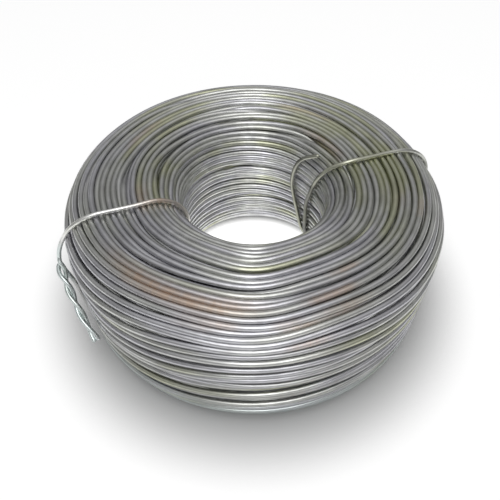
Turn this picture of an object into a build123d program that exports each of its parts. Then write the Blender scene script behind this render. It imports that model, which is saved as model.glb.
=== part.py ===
import os
from math import atan2, cos, degrees, radians, sin

from build123d import *

os.makedirs("parts", exist_ok=True)

# Wire of the coil and of the two ties, with the small gaps they lie with
wire_diameter = 1.6
turn_gap = 0.03
tie_diameter = 1.25
seat_gap = 0.3

# Section of the winding, measured to the crests of the turns
coil_height = 44.5
outer_top_radius = 56.0
outer_bottom_radius = 53.0
bore_top_radius = 20.5
bore_bottom_radius = 22.8
outer_shoulder = 11.5
outer_heel = 8.5
bore_shoulder = 10.0
bore_heel = 11.0

# Depth of the grooves between turns, and of the worn flat the lowest turns lie on
groove_share = 0.3
rest_flat = 0.09

# Channels where the ties are drawn up into the underside
channel_side_gap = 0.3
channel_overrun = 3.0
tie_heel_bend = 5.0

# Twisted tie: where it lies, where its ends meet off the wall and how they are twisted
twisted_outer_angle = -160.0
twisted_bore_angle = -158.3
twist_root_stand = 3.0
twist_root_share = 0.67
twist_tip_angle = -140.5
twist_tip_stand = 2.6
twist_tip_share = 0.33
twist_pitch = 11.0
strand_spread_share = 0.9

# Hooked tie: its straight run under the coil and up the outside
hooked_outer_angle = 14.6
hooked_heel_angle = 41.0
hooked_top_angle = 11.0
hooked_shoulder_angle = 17.5

# Hooked tie: the strand that comes down the bore wall, as angles and shares of the height
strand_upper_angle = 28.0
strand_upper_share = 0.68
strand_lower_angle = 36.5
strand_lower_share = 0.42
strand_end_angle = 37.5
strand_end_share = 0.09

# Hooked tie: the strand that goes up the bore wall and bends over at its end
hook_lift = 0.6
hook_heel_angle = 43.5
hook_heel_share = 0.24
hook_waist_angle = 54.0
hook_waist_share = 0.56
hook_neck_angle = 52.0
hook_neck_share = 0.72
hook_crown_angle = 46.5
hook_crown_slope = 16.0
hook_bend_angle = 39.0
hook_bend_slope = 34.0
hook_tip_angle = 28.0
hook_tip_slope = 45.0
wall_bend = 12.0
hook_bend = 6.0

wire_radius = wire_diameter / 2
tie_radius = tie_diameter / 2
tie_lay = tie_radius + seat_gap
hook_lay = tie_radius + hook_lift
tie_top = coil_height + tie_lay
half_turn = 180.0
full_turn = 360.0
eighth_turn = 45.0


def at(radius, angle, height):
    """A point from its distance to the axis, its angle round the axis and its height."""
    return Vector(radius * cos(radians(angle)), radius * sin(radians(angle)), height)


def on_bore(angle, share, lay):
    """A point beside the bore wall, at a share of the coil's height."""
    radius = bore_bottom_radius + (bore_top_radius - bore_bottom_radius) * share
    return at(radius - lay, angle, share * coil_height)


def off_outside(angle, share, stand):
    """A point that stands off the outer wall, at a share of the coil's height."""
    radius = outer_bottom_radius + (outer_top_radius - outer_bottom_radius) * share
    return at(radius + stand, angle, share * coil_height)


def on_shoulder(angle, slope, reach):
    """A point beside the rounded upper edge of the bore."""
    radius = bore_top_radius + bore_shoulder - reach * cos(radians(slope))
    height = coil_height - bore_shoulder + reach * sin(radians(slope))
    return at(radius, angle, height)


# Outline of the wound section in radius and height, and the line of the turns' centres
with BuildLine() as crest_line:
    FilletPolyline(
        (bore_bottom_radius, -rest_flat),
        (outer_bottom_radius, -rest_flat),
        (outer_top_radius, coil_height),
        (bore_top_radius, coil_height),
        radius=[bore_heel, outer_heel, outer_shoulder, bore_shoulder],
        close=True,
    )

turn_line = crest_line.wire().offset_2d(-wire_radius)
turn_count = int(turn_line.length / (wire_diameter + turn_gap))
turn_centres = [turn_line.position_at(turn / turn_count) for turn in range(turn_count)]
groove_line = crest_line.wire().offset_2d(-groove_share * wire_diameter)

# Line of the twisted tie, from its twisted ends up over the coil and back under it
twist_root = off_outside(twisted_outer_angle, twist_root_share, twist_root_stand)
twist_tip = off_outside(twist_tip_angle, twist_tip_share, twist_tip_stand)
twisted_heel = at(bore_bottom_radius - tie_lay, twisted_bore_angle, tie_radius)
twisted_outer_heel = at(outer_bottom_radius + tie_lay, twisted_outer_angle, tie_radius)
with BuildLine() as twisted_line:
    FilletPolyline(
        twist_root + Vector(0, 0, tie_radius),
        at(outer_top_radius + tie_lay, twisted_outer_angle, tie_top),
        at(bore_top_radius - tie_lay, twisted_bore_angle, tie_top),
        twisted_heel,
        twisted_outer_heel,
        twist_root - Vector(0, 0, tie_radius),
        radius=[
            outer_shoulder + tie_lay,
            bore_shoulder + tie_lay,
            tie_heel_bend,
            tie_heel_bend,
        ],
    )

# Line of the hooked tie, from its hooked end down the bore, under, up the outside, over
# the top and down the bore wall again
shoulder_reach = (bore_shoulder + tie_lay) / cos(radians(eighth_turn / 2))
hooked_heel = at(bore_bottom_radius - tie_lay, hooked_heel_angle, tie_radius)
hooked_outer_heel = at(outer_bottom_radius + tie_lay, hooked_outer_angle, tie_radius)
with BuildLine() as hooked_line:
    FilletPolyline(
        on_shoulder(hook_tip_angle, hook_tip_slope, bore_shoulder + hook_lay),
        on_shoulder(hook_bend_angle, hook_bend_slope, bore_shoulder + hook_lay),
        on_shoulder(hook_crown_angle, hook_crown_slope, bore_shoulder + hook_lay),
        on_bore(hook_neck_angle, hook_neck_share, tie_lay),
        on_bore(hook_waist_angle, hook_waist_share, tie_lay),
        on_bore(hook_heel_angle, hook_heel_share, tie_lay),
        hooked_heel,
        hooked_outer_heel,
        at(outer_top_radius + tie_lay, hooked_outer_angle, tie_top),
        on_shoulder(hooked_top_angle, half_turn / 2 - eighth_turn / 2, shoulder_reach),
        on_shoulder(hooked_shoulder_angle, eighth_turn / 2, shoulder_reach),
        on_bore(strand_upper_angle, strand_upper_share, tie_lay),
        on_bore(strand_lower_angle, strand_lower_share, tie_lay),
        on_bore(strand_end_angle, strand_end_share, tie_lay),
        radius=[
            hook_bend,
            hook_bend,
            hook_bend,
            wall_bend,
            wall_bend,
            tie_heel_bend,
            tie_heel_bend,
            outer_shoulder + tie_lay,
            bore_shoulder,
            bore_shoulder,
            wall_bend,
            wall_bend,
        ],
    )

channel_width = tie_diameter + 2 * channel_side_gap
channel_depth = tie_diameter + seat_gap
channel_ends = [(twisted_heel, twisted_outer_heel), (hooked_heel, hooked_outer_heel)]

# Coil: one turned solid with its bore, ridged all round by its turns
with BuildPart() as wire_coil:
    with BuildSketch(Plane.XZ) as section:
        add(make_face(groove_line.edges(), mode=Mode.PRIVATE))
        with Locations(*turn_centres):
            Circle(wire_radius)
    revolve(axis=Axis.Z)
    split(bisect_by=Plane.XY, keep=Keep.TOP)
    with BuildSketch(Plane.XY) as channels:
        for inner, outer in channel_ends:
            run = outer - inner
            middle = (inner + outer) / 2
            turn = degrees(atan2(run.Y, run.X))
            with Locations(Location((middle.X, middle.Y), turn)):
                Rectangle(run.length + 2 * channel_overrun, channel_width)
    extrude(amount=channel_depth, mode=Mode.SUBTRACT)

wire_coil.part.label = "wire_coil"
export_step(wire_coil.part, "parts/wire_coil.step")

# Twisted tie: bound round the section, its ends twisted into a tail on the outer wall
twist_run = twist_tip - twist_root
strand_spread = strand_spread_share * tie_radius
twist_plane = Plane(origin=twist_root, x_dir=(0, 0, 1), z_dir=twist_run)
twist_turn = full_turn * twist_run.length / twist_pitch

with BuildPart() as twisted_tie:
    with BuildSketch(Plane(origin=twisted_line.line @ 0, z_dir=twisted_line.line % 0)):
        Circle(tie_radius)
    sweep(path=twisted_line.line)
    with BuildSketch(twist_plane, mode=Mode.PRIVATE) as strands:
        with Locations((strand_spread, 0), (-strand_spread, 0)):
            Circle(tie_radius)
    add(
        Solid.extrude_linear_with_rotation(
            strands.sketch.face(), twist_root, twist_run, twist_turn
        )
    )

twisted_tie.part.label = "twisted_tie"
export_step(twisted_tie.part, "parts/twisted_tie.step")

# Hooked tie: one wire bound round the section, hooked over at the edge of the bore
with BuildPart() as hooked_tie:
    with BuildSketch(Plane(origin=hooked_line.line @ 0, z_dir=hooked_line.line % 0)):
        Circle(tie_radius)
    sweep(path=hooked_line.line)

hooked_tie.part.label = "hooked_tie"
export_step(hooked_tie.part, "parts/hooked_tie.step")
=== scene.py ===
import math

import bpy
import numpy as np
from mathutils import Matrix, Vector
from mathutils.kdtree import KDTree


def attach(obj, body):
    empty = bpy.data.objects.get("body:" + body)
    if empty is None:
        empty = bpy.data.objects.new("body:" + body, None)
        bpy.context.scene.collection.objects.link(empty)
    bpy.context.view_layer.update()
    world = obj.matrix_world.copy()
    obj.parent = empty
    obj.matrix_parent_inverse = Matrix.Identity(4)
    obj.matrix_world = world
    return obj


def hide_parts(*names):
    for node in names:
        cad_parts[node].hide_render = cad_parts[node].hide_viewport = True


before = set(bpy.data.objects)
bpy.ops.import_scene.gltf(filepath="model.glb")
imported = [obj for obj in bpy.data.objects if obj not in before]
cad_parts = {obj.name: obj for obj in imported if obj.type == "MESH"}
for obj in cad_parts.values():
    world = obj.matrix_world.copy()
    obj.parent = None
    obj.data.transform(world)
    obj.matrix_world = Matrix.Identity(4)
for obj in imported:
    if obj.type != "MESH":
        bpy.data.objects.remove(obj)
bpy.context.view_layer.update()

# Binding ties
# Two lengths of soft galvanised wire that hold the coil together. They lie in the former before it
# is wound, so the turns press round them. One is then twisted into a tail, the other hooked over.
# Sizes are in mm here and in the coil's section, and angles given as numbers are in degrees.
mm = 0.001
tie_diameter = 1.25

# How far a tie's centre stands off the turns' crests: lying free, pressed in and at the hook
tie_lay = 0.72
tie_press = 0.45
hook_lay = 0.95

# Section of the winding, measured to the crests of the turns
coil_height = 44.5
outer_top_radius = 56.0
outer_bottom_radius = 53.0
bore_top_radius = 20.5
bore_bottom_radius = 22.8
outer_shoulder = 11.5
outer_heel = 8.5
bore_shoulder = 10.0
bore_heel = 11.0
section_corners = [
    (bore_bottom_radius, 0.0, bore_heel),
    (outer_bottom_radius, 0.0, outer_heel),
    (outer_top_radius, coil_height, outer_shoulder),
    (bore_top_radius, coil_height, bore_shoulder),
]
bend_points = 40
fine_step = 0.05


def unit(vector):
    """A vector of the same direction, one long."""
    return vector / np.linalg.norm(vector)


def section_line(inset):
    """Outline of the wound section, set in: runs along it, points in radius and height, normals."""
    points, normals = [], []
    for place, (radius, height, bend) in enumerate(section_corners):
        corner = np.array((radius, height))
        back = unit(np.array(section_corners[place - 1][:2]) - corner)
        on = unit(np.array(section_corners[(place + 1) % len(section_corners)][:2]) - corner)
        half = math.acos(back @ on) / 2
        centre = corner + unit(back + on) * bend / math.sin(half)
        first = corner + back * bend / math.tan(half) - centre
        start = math.atan2(first[1], first[0])
        for angle in np.linspace(start, start + math.pi - 2 * half, bend_points):
            out = np.array((math.cos(angle), math.sin(angle)))
            normals.append(out)
            points.append(centre + (bend - inset) * out)
    points = np.array(points + points[:1])
    normals = np.array(normals + normals[:1])
    steps = np.linalg.norm(np.diff(points, axis=0), axis=1)
    return np.concatenate(([0.0], np.cumsum(steps))), points, normals


def on_line(line, place):
    """Points and outward normals at places along a section line."""
    runs, points, normals = line
    place = np.mod(place, runs[-1])
    spot = np.stack([np.interp(place, runs, points[:, axis]) for axis in (0, 1)], axis=1)
    out = np.stack([np.interp(place, runs, normals[:, axis]) for axis in (0, 1)], axis=1)
    return spot, out / np.linalg.norm(out, axis=1, keepdims=True)


crest_line = section_line(0.0)
crest_length = crest_line[0][-1]
fine_places = np.arange(0.0, crest_length, fine_step)
fine_points = on_line(crest_line, fine_places)[0]


def place_near(radius, height):
    """Place along the crest line nearest to a radius and height."""
    return fine_places[np.argmin(np.linalg.norm(fine_points - (radius, height), axis=1))]


def bore_wall(share):
    """Place on the bore wall, at a share of the coil's height."""
    radius = bore_bottom_radius + (bore_top_radius - bore_bottom_radius) * share
    return place_near(radius, coil_height * share)


def bore_edge(slope):
    """Place on the rounded upper edge of the bore, from 0 on its wall to 90 on top."""
    lean = math.radians(slope)
    return place_near(
        bore_top_radius + bore_shoulder * (1 - math.cos(lean)),
        coil_height - bore_shoulder * (1 - math.sin(lean)),
    )


def outer_wall(share):
    """Place on the outer wall, at a share of the coil's height."""
    radius = outer_bottom_radius + (outer_top_radius - outer_bottom_radius) * share
    return place_near(radius, coil_height * share)


def smoothed(path, reach):
    """A path eased over a reach of points either way, with its ends kept."""
    weights = np.hanning(2 * reach + 3)[1:-1]
    weights /= weights.sum()
    padded = np.concatenate([np.repeat(path[:1], reach, axis=0), path, np.repeat(path[-1:], reach, axis=0)])
    return np.stack([np.convolve(column, weights, "valid") for column in padded.T], axis=1)


def in_space(section, angle):
    """Radius and height at an angle round the axis, as x, y and z."""
    return np.stack([section[:, 0] * np.cos(angle), section[:, 0] * np.sin(angle), section[:, 1]], axis=1)


route_step = 0.25
route_ease = 14
floor_clear = 0.02


def tie_route(stops):
    """A tie's line through stops of outline place, angle and stand-off, hugging the section between."""
    place, angle, stand = [list(row) for row in zip(*stops)]
    for index in range(1, len(place)):
        while place[index] <= place[index - 1]:
            place[index] += crest_length
    along = np.arange(place[0], place[-1], route_step)
    spread = np.stack([np.interp(along, place, row) for row in (angle, stand)], axis=1)
    angle, stand = smoothed(spread, route_ease).T
    spot, out = on_line(crest_line, along)
    section = spot + out * stand[:, None]
    section[:, 1] = np.maximum(section[:, 1], tie_diameter / 2 + floor_clear)
    return in_space(section, np.radians(angle))


def add_node(tree, kind, props=None, values=None, links=None):
    """Adds a node to a tree, with its settings, input values and links."""
    made = tree.nodes.new(kind)
    for name, value in (props or {}).items():
        setattr(made, name, value)
    for name, value in (values or {}).items():
        made.inputs[name].default_value = value
    for name, source in (links or {}).items():
        tree.links.new(source, made.inputs[name])
    return made


def drawn_wire_tree():
    """Geometry Nodes tree: a round wire along a path, as thick at each point as its girth says."""
    tree = bpy.data.node_groups.new("drawn_wire", "GeometryNodeTree")
    face = tree.interface
    face.new_socket("Path", in_out="INPUT", socket_type="NodeSocketGeometry")
    face.new_socket("Diameter", in_out="INPUT", socket_type="NodeSocketFloat")
    face.new_socket("Sides", in_out="INPUT", socket_type="NodeSocketInt")
    face.new_socket("Steel", in_out="INPUT", socket_type="NodeSocketMaterial")
    face.new_socket("Wire", in_out="OUTPUT", socket_type="NodeSocketGeometry")
    given = add_node(tree, "NodeGroupInput")
    line = add_node(tree, "GeometryNodeMeshToCurve", links={"Mesh": given.outputs["Path"]})
    girth = add_node(tree, "GeometryNodeInputNamedAttribute", {"data_type": "FLOAT"}, {"Name": "girth"})
    radius = add_node(
        tree, "ShaderNodeMath", {"operation": "MULTIPLY"}, {1: 0.5}, {0: given.outputs["Diameter"]}
    )
    ring = add_node(
        tree,
        "GeometryNodeCurvePrimitiveCircle",
        links={"Resolution": given.outputs["Sides"], "Radius": radius.outputs[0]},
    )
    spot = add_node(tree, "GeometryNodeInputPosition")
    heading = add_node(
        tree, "ShaderNodeVectorMath", {"operation": "NORMALIZE"}, links={0: spot.outputs["Position"]}
    )
    ring = add_node(
        tree,
        "GeometryNodeStoreNamedAttribute",
        {"data_type": "FLOAT_VECTOR", "domain": "POINT"},
        {"Name": "around"},
        {"Geometry": ring.outputs["Curve"], "Value": heading.outputs["Vector"]},
    )
    wire = add_node(
        tree,
        "GeometryNodeCurveToMesh",
        values={"Fill Caps": True},
        links={
            "Curve": line.outputs["Curve"],
            "Profile Curve": ring.outputs["Geometry"],
            "Scale": girth.outputs["Attribute"],
        },
    )
    wire = add_node(tree, "GeometryNodeSetShadeSmooth", links={"Geometry": wire.outputs["Mesh"]})
    wire = add_node(tree, "GeometryNodeRealizeInstances", links={"Geometry": wire.outputs["Geometry"]})
    wire = add_node(
        tree,
        "GeometryNodeSetMaterial",
        links={"Geometry": wire.outputs["Geometry"], "Material": given.outputs["Steel"]},
    )
    add_node(tree, "NodeGroupOutput", links={"Wire": wire.outputs["Geometry"]})
    return tree


wire_tree = drawn_wire_tree()
wire_sockets = {item.name: item.identifier for item in wire_tree.interface.items_tree}


def draw_wire(name, path, traits, diameter, sides, steel, endless=False):
    """A wire along a path, with a value of each trait at each of its points."""
    line = bpy.data.meshes.new(name)
    ends = [(index, index + 1) for index in range(len(path) - 1)]
    if endless:
        ends.append((len(path) - 1, 0))
    line.from_pydata(path * mm, ends, [])
    for trait, values in traits.items():
        line.attributes.new(trait, "FLOAT", "POINT").data.foreach_set("value", np.asarray(values, float))
    piece = bpy.data.objects.new(name, line)
    bpy.context.scene.collection.objects.link(piece)
    nodes = piece.modifiers.new("drawn_wire", "NODES")
    nodes.node_group = wire_tree
    nodes[wire_sockets["Diameter"]] = diameter * mm
    nodes[wire_sockets["Sides"]] = sides
    nodes[wire_sockets["Steel"]] = steel
    graph = bpy.context.evaluated_depsgraph_get()
    shaped = piece.evaluated_get(graph)
    piece_mesh = bpy.data.meshes.new_from_object(shaped, preserve_all_data_layers=True, depsgraph=graph)
    piece.modifiers.remove(nodes)
    piece.data = piece_mesh
    return piece


def linear(hex_colour):
    """An sRGB hex colour as linear light."""
    parts = [int(hex_colour[place : place + 2], 16) / 255 for place in (1, 3, 5)]
    return (*[part / 12.92 if part <= 0.04045 else ((part + 0.055) / 1.055) ** 2.4 for part in parts], 1.0)


def galvanised_steel(name, violet, grey, straw):
    """Soft steel wire, drawn and galvanised: a grey satin skin of zinc with faint tints from violet to
    straw, fine lines drawn along it, light rust where the zinc is worn, a pale painted sheen, and the
    painted light and shade that each wire carries."""
    steel = bpy.data.materials.new(name)
    steel.use_nodes = True
    tree = steel.node_tree
    shader = tree.nodes["Principled BSDF"]
    shader.inputs["Metallic"].default_value = 1.0
    along = add_node(tree, "ShaderNodeAttribute", {"attribute_name": "along"})
    around = add_node(tree, "ShaderNodeAttribute", {"attribute_name": "around"})
    warmth = add_node(tree, "ShaderNodeAttribute", {"attribute_name": "warmth"})
    rust = add_node(tree, "ShaderNodeAttribute", {"attribute_name": "rust"})
    painted_sheen = add_node(tree, "ShaderNodeAttribute", {"attribute_name": "painted_sheen"})
    tone_and_painted_light = add_node(tree, "ShaderNodeAttribute", {"attribute_name": "tone_and_painted_light"})

    # Tints of the zinc, which change every few centimetres along the wire
    tint_length = 55.0
    tint = add_node(
        tree,
        "ShaderNodeTexNoise",
        {"noise_dimensions": "1D"},
        {"Scale": 1 / tint_length, "Detail": 2.0, "Roughness": 0.6},
        {"W": along.outputs["Fac"]},
    )
    warm_tint = add_node(
        tree,
        "ShaderNodeMath",
        {"operation": "ADD"},
        links={0: tint.outputs["Fac"], 1: warmth.outputs["Fac"]},
    )
    skin = add_node(tree, "ShaderNodeValToRGB", links={"Fac": warm_tint.outputs[0]})
    stops = skin.color_ramp.elements
    stops[0].position = 0.36
    stops[0].color = linear(violet)
    stops[1].position = 0.48
    stops[1].color = linear(grey)
    for position, colour in ((0.55, grey), (0.68, straw)):
        stop = stops.new(position)
        stop.color = linear(colour)

    # Smut from handling, which darkens the skin and dulls its satin
    smut_length = 9.0
    smut = add_node(
        tree,
        "ShaderNodeTexNoise",
        {"noise_dimensions": "1D"},
        {"Scale": 1 / smut_length, "Detail": 3.0, "Roughness": 0.6},
        {"W": along.outputs["Fac"]},
    )
    shade = add_node(
        tree,
        "ShaderNodeMapRange",
        values={"From Min": 0.3, "From Max": 0.7, "To Min": 0.82, "To Max": 1.08},
        links={"Value": smut.outputs["Fac"]},
    )
    # Times each wire's own tone and the painted light and shade that it carries
    shade = add_node(
        tree,
        "ShaderNodeMath",
        {"operation": "MULTIPLY"},
        links={0: shade.outputs["Result"], 1: tone_and_painted_light.outputs["Fac"]},
    )
    shaded = add_node(
        tree,
        "ShaderNodeVectorMath",
        {"operation": "SCALE"},
        links={0: skin.outputs["Color"], "Scale": shade.outputs[0]},
    )

    # A pale painted sheen and brown rust, mixed over the skin: a Mix node's colours are its inputs 6 and 7
    sheen_colour = linear("#D4E0DF")
    rust_colour = linear("#CBB5A2")
    sheened = add_node(
        tree,
        "ShaderNodeMix",
        {"data_type": "RGBA"},
        {7: sheen_colour},
        {0: painted_sheen.outputs["Fac"], 6: shaded.outputs["Vector"]},
    )
    rust_grain = 3.0
    breakup = add_node(
        tree,
        "ShaderNodeTexNoise",
        {"noise_dimensions": "1D"},
        {"Scale": 1 / rust_grain, "Detail": 4.0, "Roughness": 0.7},
        {"W": along.outputs["Fac"]},
    )
    patchy = add_node(
        tree,
        "ShaderNodeMapRange",
        values={"From Min": 0.3, "From Max": 0.6, "To Min": 0.55, "To Max": 1.0},
        links={"Value": breakup.outputs["Fac"]},
    )
    rusted = add_node(
        tree,
        "ShaderNodeMath",
        {"operation": "MULTIPLY"},
        links={0: rust.outputs["Fac"], 1: patchy.outputs["Result"]},
    )
    colour = add_node(
        tree,
        "ShaderNodeMix",
        {"data_type": "RGBA"},
        {7: rust_colour},
        {0: rusted.outputs[0], 6: sheened.outputs[2]},
    )
    tree.links.new(colour.outputs[2], shader.inputs["Base Color"])

    rust_roughness = 0.15
    satin = add_node(
        tree,
        "ShaderNodeMapRange",
        values={"From Min": 0.3, "From Max": 0.7, "To Min": 0.4, "To Max": 0.32},
        links={"Value": smut.outputs["Fac"]},
    )
    dull = add_node(
        tree,
        "ShaderNodeMath",
        {"operation": "MULTIPLY_ADD"},
        {1: rust_roughness},
        {0: rusted.outputs[0], 2: satin.outputs["Result"]},
    )
    tree.links.new(dull.outputs[0], shader.inputs["Roughness"])

    # Lines that the drawing die leaves along the wire. Real ones are hair fine, and these are drawn
    # much coarser so that they show.
    line_length = 20.0
    lines_round = 2.0
    line_depth = 0.02
    stretch = add_node(
        tree,
        "ShaderNodeMath",
        {"operation": "MULTIPLY"},
        {1: 1 / line_length},
        {0: along.outputs["Fac"]},
    )
    lines_at = add_node(
        tree,
        "ShaderNodeVectorMath",
        {"operation": "SCALE"},
        {"Scale": lines_round},
        {0: around.outputs["Vector"]},
    )
    lines = add_node(
        tree,
        "ShaderNodeTexNoise",
        {"noise_dimensions": "4D"},
        {"Scale": 1.0, "Detail": 2.0},
        {"Vector": lines_at.outputs["Vector"], "W": stretch.outputs[0]},
    )
    relief = add_node(
        tree,
        "ShaderNodeBump",
        values={"Strength": 0.05, "Distance": line_depth * mm},
        links={"Height": lines.outputs["Fac"]},
    )
    tree.links.new(relief.outputs["Normal"], shader.inputs["Normal"])
    return steel


root_angle = -160.0
tip_angle = -140.5
twist_root = outer_wall(0.67)
twist_tip = outer_wall(0.33)
root_stand = 3.0
root_lift = 0.5
tip_stand = 2.6

# The tail's two strands are wide at its root, close in towards its tip and twist less there
twist_pitch = 11.0
twist_slack = 0.22
twist_loose = 1.05
twist_tight = 0.6
twist_closing = 5.0
strand_points = 100

twisted_run = tie_route(
    [
        (twist_root, root_angle, root_stand),
        (outer_wall(0.86), -161.0, tie_press),
        (place_near(49.0, coil_height), -159.4, tie_press),
        (place_near(34.0, coil_height), -158.0, tie_press),
        (bore_edge(60.0), -158.3, tie_press),
        (bore_wall(0.2), -158.3, tie_lay),
        (place_near(38.0, 0.0), -159.2, tie_lay),
        (outer_wall(0.2), root_angle, tie_lay),
        (outer_wall(0.45), root_angle, tie_lay + root_lift),
        (twist_root, root_angle, root_stand),
    ]
)


def twisted_strand(phase):
    """One strand of the twisted tail, from its root to its tip."""
    share = np.linspace(0.0, 1.0, strand_points)
    spot, out = on_line(crest_line, twist_root + (twist_tip - twist_root) * share)
    stand = root_stand + (tip_stand - root_stand) * share
    angle = np.radians(root_angle + (tip_angle - root_angle) * share)
    axis_line = in_space(spot + out * stand[:, None], angle)
    middle = axis_line[strand_points // 2]
    run = unit(axis_line[-1] - axis_line[0])
    outward = unit(np.array((middle[0], middle[1], 0.0)))
    side = unit(np.cross(run, outward))
    outward = np.cross(side, run)
    length = np.linalg.norm(axis_line[-1] - axis_line[0])
    turn = phase + 2 * math.pi * (share - twist_slack * share**2) * length / twist_pitch
    reach = twist_tight + (twist_loose - twist_tight) * np.exp(-share * twist_closing)
    return axis_line + reach[:, None] * (np.cos(turn)[:, None] * side + np.sin(turn)[:, None] * outward)


# The run's own ends give way to the strands, the upper one first
join_trim = 6
join_ease = 3
strand_up = twisted_strand(math.pi)
strand_down = twisted_strand(0.0)
joined = np.concatenate([strand_up[::-1], twisted_run[join_trim:-join_trim], strand_down])
twisted_path = smoothed(joined, join_ease)

hooked_path = tie_route(
    [
        (bore_edge(45.0), 28.5, hook_lay),
        (bore_edge(34.0), 39.0, hook_lay),
        (bore_edge(20.0), 46.5, hook_lay),
        (bore_wall(0.74), 51.7, tie_lay),
        (bore_wall(0.61), 53.8, tie_lay),
        (bore_wall(0.49), 51.0, tie_lay),
        (bore_wall(0.24), 43.5, tie_lay),
        (place_near(28.0, 1.5), 30.5, tie_lay),
        (place_near(35.0, 0.0), 23.6, tie_lay),
        (place_near(44.0, 0.0), 18.2, tie_lay),
        (outer_wall(0.2), 14.6, tie_lay),
        (outer_wall(0.8), 14.6, tie_press),
        (place_near(40.0, coil_height), 13.7, tie_press),
        (bore_edge(90.0), 12.0, tie_press),
        (bore_edge(68.0), 12.2, tie_press),
        (bore_edge(22.0), 19.5, tie_press),
        (bore_wall(0.69), 28.3, tie_lay),
        (bore_wall(0.5), 36.0, tie_lay),
        (bore_wall(0.09), 37.5, tie_lay),
    ]
)


def even_path(path, spacing):
    """A path with its points evenly spaced, and the distance of each along it."""
    runs = np.concatenate(([0.0], np.cumsum(np.linalg.norm(np.diff(path, axis=0), axis=1))))
    marks = np.linspace(0.0, runs[-1], int(runs[-1] / spacing))
    return np.stack([np.interp(marks, runs, path[:, axis]) for axis in range(3)], axis=1), marks


end_round = tie_diameter * 0.3
end_blunt = 0.05


def round_ends(count, spacing):
    """Girth along a cut wire, with its two ends rounded over and a little blunt."""
    from_end = np.minimum(np.arange(count), np.arange(count)[::-1]) * spacing
    return np.sqrt(np.clip(1 - np.clip(1 - from_end / end_round, 0, 1) ** 2, end_blunt, 1))


def twisted_looks(path, marks):
    """The twisted tie is brightened with a painted highlight, browned on its way to the bore, and given a
    pale painted sheen on its tail.
    """
    painted_highlight = 1.2
    browned = 0.85
    browned_radius = 27.5
    browned_reach = 6.5
    most_sheen = 0.7
    sheen_radius = 55.5
    sheen_ease = 1.5
    radius = np.hypot(path[:, 0], path[:, 1])
    return {
        "along": marks,
        "warmth": np.zeros(len(path)),
        "rust": browned * np.exp(-(((radius - browned_radius) / browned_reach) ** 2)),
        "painted_sheen": np.clip((radius - sheen_radius) / sheen_ease, 0, most_sheen),
        "tone_and_painted_light": np.full(len(path), painted_highlight),
    }


def hooked_looks(path, marks):
    """The hooked tie is a warm grey, with painted light over the top, a painted glint at the bore's edge and
    painted shade down the bore below it.
    """
    pattern_start = 500.0
    warm = 0.14
    plain = 0.7
    paler = 0.45
    paler_height = 38.0
    paler_ease = 4.0
    glint_strength = 0.4
    edge_from_end = 40.0
    edge_reach = 5.0
    painted_shade_depth = 0.35
    shade_from_end = 34.0
    shade_ease = 6.0
    from_end = marks[-1] - marks
    over_top = np.clip((path[:, 2] - paler_height) / paler_ease, 0, 1)
    painted_glint = np.exp(-(((from_end - edge_from_end) / edge_reach) ** 2))
    painted_shade = np.clip((shade_from_end - from_end) / shade_ease, 0, 1)
    return {
        "along": marks + pattern_start,
        "warmth": np.full(len(path), warm),
        "rust": np.zeros(len(path)),
        "painted_sheen": np.zeros(len(path)),
        "tone_and_painted_light": plain + paler * over_top + glint_strength * painted_glint - painted_shade_depth * painted_shade,
    }


# The twisted tie's steel is paler than the hooked one's, partly its own colour and partly a painted
# highlight
twisted_steel = galvanised_steel("galvanised_steel_twisted", "#E0E0E2", "#E2E2E0", "#DCDCD2")
hooked_steel = galvanised_steel("galvanised_steel_hooked", "#BEBEC0", "#C2C3BD", "#C1C2B1")
tie_spacing = 0.35
tie_sides = 12
ties = [
    ("twisted_tie_wire", "twisted_tie", twisted_path, twisted_looks, twisted_steel),
    ("hooked_tie_wire", "hooked_tie", hooked_path, hooked_looks, hooked_steel),
]
for name, node, route, looks, steel in ties:
    path, marks = even_path(route, tie_spacing)
    traits = {"girth": round_ends(len(path), tie_spacing), **looks(path, marks)}
    tie = draw_wire(name, path, traits, tie_diameter, tie_sides, steel)
    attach(tie, "root")
    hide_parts(node)

# Coil wire
# About a hundred metres of galvanised steel wire, drawn to 1.6 mm and wound at random into a squat
# ring. Its two outermost lays are wound here turn by turn and press in under the ties, and a ridged
# ring stands for the lays beneath them.
wire_diameter = 1.6
wire_radius = wire_diameter / 2
lay_depth = 0.8 * wire_diameter
stations = 120
station_angle = 2 * math.pi * np.arange(stations) / stations
front_angle = -91.0
winding_seed = 47
chance = np.random.default_rng(winding_seed)

# Stretches of the section along its outline: start, the length it rises over, end, the length of its fall
wall_stretch = (36.0, 8.0, 73.0, 10.0)
top_stretch = (58.0, 14.0, 108.0, 10.0)
bore_stretch = (106.0, 6.0, 136.0, 8.0)


def between(place, start, rise, end, fall):
    """One on a stretch of the section and none beyond it, eased at both its ends."""
    return np.clip((place - start) / rise, 0, 1) * np.clip((end - place) / fall, 0, 1)


def drift(count, waves):
    """A smooth endless wander along a wire, about one either way."""
    spectrum = np.fft.rfft(chance.normal(size=count))
    spectrum *= np.exp(-((np.arange(len(spectrum)) / waves) ** 2))
    line = np.fft.irfft(spectrum, count)
    return line / line.std()


def degrees_off(angle, mark):
    """How many degrees angles in radians are from a mark in degrees, either way."""
    return (np.degrees(angle) - mark + 180.0) % 360.0 - 180.0


front_dip = 2.2
front_dip_reach = 15.0
side_sag = 1.2


def settled_place(place, angle):
    """Where turns lie round the coil: those on top dip at the front, those on the wall sag at its sides."""
    off_front = degrees_off(angle, front_angle)
    dip = -front_dip * np.exp(-((off_front / front_dip_reach) ** 2)) * between(place, *top_stretch)
    sag = -side_sag * (1 - np.cos(2 * np.radians(off_front))) / 2 * between(place, *wall_stretch)
    return place + dip + sag


# Room left between turns as a share of their width: on the wall, more at the front, and in the bore
wall_slack = 0.45
front_slack = 0.85
front_slack_reach = 55.0
bore_slack = 0.3
slack_steps = 2000

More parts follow.
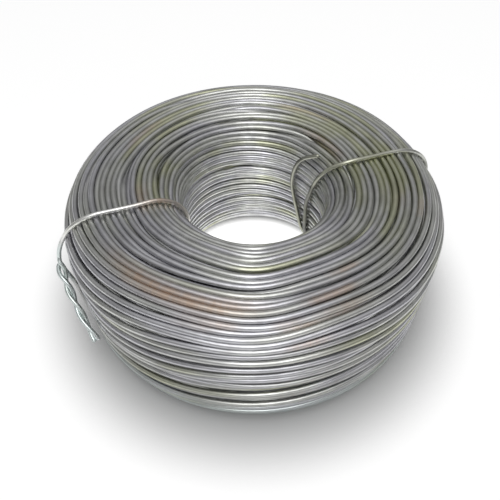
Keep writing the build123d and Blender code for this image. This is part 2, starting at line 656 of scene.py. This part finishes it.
# How much of a turn shows between its neighbours, and how it leans, wanders and sinks along its way
shown_base = 0.5
shown_swing = 1.6
shown_bias = 0.9
shown_waves = 0.9
least_shown = 0.04
lean_most = 0.5
lean_turns = 8
lean_swing_radians = 2.5
lean_swing_turns = 9
wander_most = 0.2
wander_more_on_wall = 0.8
wander_waves = 1.3
sink_rough = 0.07
sink_waves = 1.6
under_sink_on_wall = 0.6
under_sink_in_bore = 0.4


def lay_turns(inset, buried):
    """One lay of turns side by side. With a share buried, turns are slack and dive under each other."""
    line = section_line(inset)
    length = line[0][-1]
    fine = np.linspace(0, length, slack_steps)
    slack = np.zeros((stations, slack_steps))
    if buried:
        off_front = degrees_off(station_angle, front_angle)
        loose = wall_slack + front_slack * np.exp(-((off_front / front_slack_reach) ** 2))
        slack = loose[:, None] * between(fine, *wall_stretch) + bore_slack * between(fine, *bore_stretch)
    filled = np.cumsum(1 / (1 + slack), axis=1) * length / slack_steps
    turns = int(filled[:, -1].mean() / (wire_diameter * (1 - buried)))
    count = turns * stations
    shown = np.ones(count)
    if buried:
        swing = drift(count, shown_waves * turns) + shown_bias
        shown = np.clip(shown_base + shown_swing * swing, least_shown, 1)
    share = shown.reshape(turns, stations)
    before = np.cumsum(share, axis=0) - share / 2 + share[0, 0] * np.arange(stations) / stations
    before = before / share.sum(axis=0) % 1.0
    rows = [np.interp(row, full / full[-1], fine) for row, full in zip(before.T, filled)]
    place = np.stack(rows, axis=1).ravel()
    angle = np.resize(station_angle, count)
    lean = lean_most * drift(count, turns / lean_turns)
    lean = lean * np.cos(angle + lean_swing_radians * drift(count, turns / lean_swing_turns))
    wander = wander_most * (1 + wander_more_on_wall * between(place, *wall_stretch))
    wander = wander * drift(count, wander_waves * turns)
    place = settled_place(place + lean + wander, angle)
    spot, out = on_line(line, place)
    sink = wire_diameter * np.sqrt(1 - ((1 + shown) / 2) ** 2)
    sink += sink_rough * drift(count, sink_waves * turns)
    if not buried:
        sink += under_sink_on_wall * between(place, *wall_stretch)
        sink += under_sink_in_bore * between(place, *bore_stretch)
    home = spot - out * sink[:, None]
    return {
        "count": count,
        "home": home,
        "now": home.copy(),
        "out": out,
        "place": np.mod(place, length) / length * crest_length,
        "angle": angle,
    }


buried_share = 0.2
outer = lay_turns(wire_radius, buried_share)
inner = lay_turns(wire_radius + lay_depth, 0.0)

tie_points = KDTree(len(twisted_path) + len(hooked_path))
for point in np.concatenate([twisted_path, hooked_path]):
    tie_points.insert(point, 0)
tie_points.balance()
tie_air = 0.06
tie_clear = (wire_diameter + tie_diameter) / 2 + tie_air
dip_stations = 7


def tie_gap(lay):
    """How far each station of a lay is clear of the ties."""
    return np.array([tie_points.find(point)[2] for point in in_space(lay["now"], lay["angle"])]) - tie_clear


def eased_dip(need):
    """The dip that stations need, eased into a hollow along the wire."""
    dip = need.copy()
    for step in range(1, dip_stations + 1):
        share = math.cos(math.pi / 2 * step / (dip_stations + 1)) ** 2
        dip = np.maximum(dip, share * np.maximum(np.roll(need, step), np.roll(need, -step)))
    return dip


outer["home"] -= outer["out"] * eased_dip(np.clip(-tie_gap(outer), 0, None))[:, None]
outer["now"] = outer["home"].copy()

# Turns may stand a little proud of where they were laid, and less so under a tie
most_proud = 0.35
room = most_proud - eased_dip(most_proud - np.clip(tie_gap(outer), 0, most_proud))

# Each round takes touching turns part of the way apart, draws them home a little and straightens them
least_apart = 0.05
part_share = 0.38
home_pull = 0.05
straighten = 0.3
neighbours = (1, 2, 3)


def part_pairs(first, second):
    """Moves that take touching wires apart."""
    gap = second - first
    distance = np.maximum(np.linalg.norm(gap, axis=1), least_apart)
    overlap = np.clip(wire_diameter - distance, 0, None)
    return gap * (part_share * overlap / distance)[:, None]


def settle(lay, rounds, room):
    """Lets the turns of a lay part where they overlap, no further out than there is room."""
    for settling in range(rounds):
        now = lay["now"]
        move = home_pull * (lay["home"] - now)
        for turns_on in neighbours:
            apart = part_pairs(now, np.roll(now, -turns_on * stations, axis=0))
            move += np.roll(apart, turns_on * stations, axis=0) - apart
        now += move
        now += straighten * ((np.roll(now, 1, axis=0) + np.roll(now, -1, axis=0)) / 2 - now)
        proud = np.sum((now - lay["home"]) * lay["out"], axis=1)
        now -= lay["out"] * np.clip(proud - room, 0, None)[:, None]
        now[:, 1] = np.maximum(now[:, 1], wire_radius)


outer_rounds = 90
inner_rounds = 40
press_rounds = 5
settle(outer, outer_rounds, room)
settle(inner, inner_rounds, 0.0)
over = outer["now"].reshape(-1, stations, 2)
for pressing in range(press_rounds):
    under = inner["now"].reshape(-1, stations, 2)
    nearest = np.linalg.norm(under[:, None] - over[None], axis=3).min(axis=1).ravel()
    need = np.maximum(wire_diameter - nearest, -tie_gap(inner))
    inner["now"] -= inner["out"] * eased_dip(np.clip(need, 0, None))[:, None]

# Marks on the wire: place along the section, angle, reach round the coil, width and strength
rust_marks = [
    (81.3, -115.0, 24.0, 2.0, 0.9),
    (76.5, -103.0, 8.0, 0.9, 0.7),
    (76.5, -78.0, 6.0, 0.9, 0.6),
    (81.9, -66.0, 8.0, 0.9, 0.8),
    (86.7, -57.0, 6.0, 0.9, 0.6),
    (77.5, -65.0, 7.0, 0.8, 0.6),
    (71.7, -76.0, 6.0, 0.8, 0.5),
    (91.8, 62.0, 14.0, 1.2, 0.5),
    (100.2, 38.0, 18.0, 1.0, 0.5),
    (86.5, -13.0, 6.0, 0.9, 0.5),
    (80.1, -14.5, 5.0, 0.9, 0.5),
    (60.0, 70.0, 15.0, 1.0, 0.6),
    (52.0, 140.0, 20.0, 1.8, 0.7),
    (88.0, 150.0, 12.0, 1.0, 0.5),
    (96.2, -164.4, 10.0, 1.4, 0.6),
]
straw_patches = [
    (90.0, 28.0, 58.0, 11.0, 0.24),
    (101.0, 180.0, 26.0, 6.0, 0.15),
    (88.0, 128.0, 24.0, 8.0, 0.08),
    (52.0, 60.0, 70.0, 12.0, 0.08),
    (80.0, -91.0, 30.0, 12.0, -0.1),
]
plain_warmth = -0.06
mean_turn_radius = 40.0
station_run = 2 * math.pi * mean_turn_radius / stations

# The foot of the outer wall has a pale painted sheen at the front, and the bore's turns are lightened with
# painted light
sheen_height = 11.0
sheen_ease = 5.0
sheen_radius = 44.0
sheen_most = 0.5
sheen_side = 0.2
sheen_turn = 1.4
painted_light_in_bore = 0.2


def places_off(place, mark):
    """How far places along the section are from a mark, either way."""
    return (place - mark + crest_length / 2) % crest_length - crest_length / 2


def turn_traits(lay, start, tone_and_painted_light, wall_painted_light):
    """What the steel shows along a lay: distance along the wire, warm tint, rust, a pale painted sheen, and
    painted light and shade.
    """
    rust = np.zeros(lay["count"])
    for place, angle, reach, width, strength in rust_marks:
        across = (places_off(lay["place"], place) / width) ** 2
        rust = np.maximum(rust, strength * np.exp(-across - (degrees_off(lay["angle"], angle) / reach) ** 4))
    warmth = np.full(lay["count"], plain_warmth)
    for place, angle, reach, width, strength in straw_patches:
        across = (places_off(lay["place"], place) / width) ** 4
        warmth += strength * np.exp(-across - (degrees_off(lay["angle"], angle) / reach) ** 4)
    radius, height = lay["home"].T
    low = np.clip((sheen_height - height) / sheen_ease, 0, 1) * (radius > sheen_radius)
    in_front = np.clip(sheen_side - sheen_turn * np.sin(lay["angle"]), 0, 1)
    on_wall = between(lay["place"], *wall_stretch)
    in_bore = between(lay["place"], *bore_stretch)
    return {
        "girth": np.ones(lay["count"]),
        "along": start + np.arange(lay["count"]) * station_run,
        "warmth": warmth,
        "rust": rust,
        "painted_sheen": sheen_most * low * in_front,
        "tone_and_painted_light": tone_and_painted_light + (wall_painted_light - tone_and_painted_light) * on_wall + painted_light_in_bore * in_bore,
    }


# The under lay starts far along the wire, so that its pattern isn't the outer lay's
outer_start = 0.0
outer_painted_light = 1.0
inner_start = 30000.0
# The under lay is lightened with painted light where it shows between the outer turns, and darkened with
# painted shade on the wall
inner_painted_light = 1.35
inner_wall_painted_shade = 0.75
outer_sides = 12
inner_sides = 8
coil_steel = galvanised_steel("galvanised_steel_wire", "#CCCCD0", "#CFD0CC", "#C9CBB2")
outer_traits = turn_traits(outer, outer_start, outer_painted_light, outer_painted_light)
inner_traits = turn_traits(inner, inner_start, inner_painted_light, inner_wall_painted_shade)
outer_path = in_space(outer["now"], outer["angle"])
half = outer["count"] // 2
coil_pieces = []
for name, first, last in (("lower_turns", 0, half), ("upper_turns", half, outer["count"])):
    rows = np.arange(first, last + 1) % outer["count"]
    traits = {trait: values[rows] for trait, values in outer_traits.items()}
    traits["along"] = outer_traits["along"][first] + np.arange(len(rows)) * station_run
    coil_pieces.append(draw_wire(name, outer_path[rows], traits, wire_diameter, outer_sides, coil_steel))
inner_path = in_space(inner["now"], inner["angle"])
under_turns = draw_wire(
    "under_turns", inner_path, inner_traits, wire_diameter, inner_sides, coil_steel, endless=True
)
coil_pieces.append(under_turns)

# The ring of the lays beneath: a closed mesh whose section is a row of half round ridges
heart_inset = 5.4
heart_stations = 90
steps_a_turn = 4
heart_painted_light = 1.0
heart_line = section_line(heart_inset)
heart_rows = int(heart_line[0][-1] / wire_diameter)
across = np.arange(heart_rows * steps_a_turn) / steps_a_turn
spot, out = on_line(heart_line, across / heart_rows * heart_line[0][-1])
off_crest = (across % 1 - 0.5) * wire_diameter
ridge = np.sqrt(wire_radius**2 - off_crest**2)
heart_section = spot + out * ridge[:, None]
heart_angle = 2 * math.pi * np.arange(heart_stations) / heart_stations
heart_points = np.concatenate([in_space(heart_section, angle) for angle in heart_angle])
here = np.arange(len(heart_points)).reshape(heart_stations, -1)
onward = np.roll(here, -1, axis=0)
heart_faces = np.stack([here, onward, np.roll(onward, -1, axis=1), np.roll(here, -1, axis=1)], axis=2)
heart_mesh = bpy.data.meshes.new("heart_turns")
heart_mesh.from_pydata(heart_points * mm, [], heart_faces.reshape(-1, 4).tolist())
heart_shows = heart_mesh.attributes.new("tone_and_painted_light", "FLOAT", "POINT")
heart_shows.data.foreach_set("value", np.full(len(heart_points), heart_painted_light))
heart_mesh.materials.append(coil_steel)
heart_mesh.shade_smooth()
heart = bpy.data.objects.new("heart_turns", heart_mesh)
bpy.context.scene.collection.objects.link(heart)
coil_pieces.append(heart)

for piece in coil_pieces:
    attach(piece, "root")
    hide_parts("wire_coil")

# Studio
# A matt floor that shows white, one soft box in front and above, and the camera at the photograph's
# angle. Round the coil's foot the white fades, so that the floor keeps its shadow, and the fade also
# paints a shadow ring round the coil. In the bore the floor is painted brighter. Sizes are in m.
half_floor = 2.0
floor_mesh = bpy.data.meshes.new("floor")
floor_mesh.from_pydata(
    [(x * half_floor, y * half_floor, 0.0) for x, y in ((-1, -1), (1, -1), (1, 1), (-1, 1))],
    [],
    [(0, 1, 2, 3)],
)
floor = bpy.data.objects.new("floor", floor_mesh)
bpy.context.scene.collection.objects.link(floor)
floor_paint = bpy.data.materials.new("matt_white_floor")
floor_paint.use_nodes = True
paint = floor_paint.node_tree
paint.nodes.remove(paint.nodes["Principled BSDF"])
matt = add_node(paint, "ShaderNodeBsdfDiffuse", values={"Color": linear("#CACACA")})
ray = add_node(paint, "ShaderNodeLightPath")
seen = add_node(
    paint,
    "ShaderNodeMath",
    {"operation": "MAXIMUM"},
    links={0: ray.outputs["Is Camera Ray"], 1: ray.outputs["Is Glossy Ray"]},
)
seen = add_node(
    paint,
    "ShaderNodeMath",
    {"operation": "MAXIMUM"},
    links={0: seen.outputs[0], 1: ray.outputs["Is Transmission Ray"]},
)

# Distances from the axis between which the white comes in: as the camera sees it, as the wire
# mirrors it, and within the bore. The white held back near the coil is painted shadow, held back
# further in the wire's reflections, and the bore's stronger white is painted light.
floor_glow = 0.62
bore_glow = 1.0
seen_edge = (0.05, 0.075)
mirrored_edge = (0.06, 0.11)
bore_rim = (0.029, 0.025)
floor_spot = add_node(paint, "ShaderNodeTexCoord")
from_axis = add_node(
    paint, "ShaderNodeVectorMath", {"operation": "LENGTH"}, links={0: floor_spot.outputs["Object"]}
)
seen_white = add_node(
    paint,
    "ShaderNodeMapRange",
    {"interpolation_type": "SMOOTHSTEP"},
    {"From Min": seen_edge[0], "From Max": seen_edge[1], "To Min": 0.0, "To Max": floor_glow},
    {"Value": from_axis.outputs["Value"]},
)
mirrored_white = add_node(
    paint,
    "ShaderNodeMapRange",
    {"interpolation_type": "SMOOTHSTEP"},
    {"From Min": mirrored_edge[0], "From Max": mirrored_edge[1], "To Min": 0.0, "To Max": floor_glow},
    {"Value": from_axis.outputs["Value"]},
)
outside_white = add_node(
    paint,
    "ShaderNodeMix",
    {"data_type": "FLOAT"},
    links={
        0: ray.outputs["Is Camera Ray"],
        2: mirrored_white.outputs["Result"],
        3: seen_white.outputs["Result"],
    },
)
bore_white = add_node(
    paint,
    "ShaderNodeMapRange",
    values={"From Min": bore_rim[0], "From Max": bore_rim[1], "To Min": 0.0, "To Max": bore_glow},
    links={"Value": from_axis.outputs["Value"]},
)
white = add_node(
    paint,
    "ShaderNodeMath",
    {"operation": "MAXIMUM"},
    links={0: outside_white.outputs[0], 1: bore_white.outputs["Result"]},
)
lift = add_node(
    paint, "ShaderNodeMath", {"operation": "MULTIPLY"}, links={0: seen.outputs[0], 1: white.outputs[0]}
)
glow = add_node(paint, "ShaderNodeEmission", links={"Strength": lift.outputs[0]})
both = add_node(paint, "ShaderNodeAddShader", links={0: matt.outputs[0], 1: glow.outputs[0]})
paint.links.new(both.outputs[0], paint.nodes["Material Output"].inputs["Surface"])
floor_mesh.materials.append(floor_paint)

# A grey dome that lightens from the horizon to overhead
dome_low = 0.14
dome_middle = 0.38
dome_middle_height = 0.72
dome_high = 0.8
world = bpy.data.worlds.new("studio")
bpy.context.scene.world = world
world.use_nodes = True
sky = world.node_tree
toward = add_node(sky, "ShaderNodeTexCoord")
parts = add_node(sky, "ShaderNodeSeparateXYZ", links={0: toward.outputs["Generated"]})
dome = add_node(sky, "ShaderNodeValToRGB", links={"Fac": parts.outputs["Z"]})
low, high = dome.color_ramp.elements
low.color = (dome_low, dome_low, dome_low, 1.0)
high.color = (dome_high, dome_high, dome_high, 1.0)
middle = dome.color_ramp.elements.new(dome_middle_height)
middle.color = (dome_middle, dome_middle, dome_middle, 1.0)
sky.links.new(dome.outputs["Color"], sky.nodes["Background"].inputs["Color"])

box_width = 0.32
box_length = 0.7
box_radiance = 2.5
box_place = (0.0, -0.36, 0.62)
lamp = bpy.data.lights.new("soft_box", "AREA")
lamp.shape = "RECTANGLE"
lamp.size = box_width
lamp.size_y = box_length
lamp.energy = box_radiance * math.pi * box_width * box_length
soft_box = bpy.data.objects.new("soft_box", lamp)
soft_box.location = box_place
soft_box.rotation_euler = (-soft_box.location).to_track_quat("-Z", "Y").to_euler()
soft_box.visible_camera = False
bpy.context.scene.collection.objects.link(soft_box)

look_down = math.radians(46.13)
look_from = 0.18258
look_at = Vector((0.0, 0.0, 0.022))
camera_data = bpy.data.cameras.new("camera")
camera = bpy.data.objects.new("camera", camera_data)
bpy.context.scene.collection.objects.link(camera)
bpy.context.scene.camera = camera
camera.location = look_at + look_from * Vector((0.0, -math.cos(look_down), math.sin(look_down)))
camera.rotation_euler = (math.pi / 2 - look_down, 0.0, 0.0)
camera_data.sensor_width = 36.0
camera_data.lens = 42.05
camera_data.shift_x = -0.0081
camera_data.shift_y = -0.0397
camera_data.clip_start = 0.01

bpy.context.scene.view_settings.view_transform = "Standard"
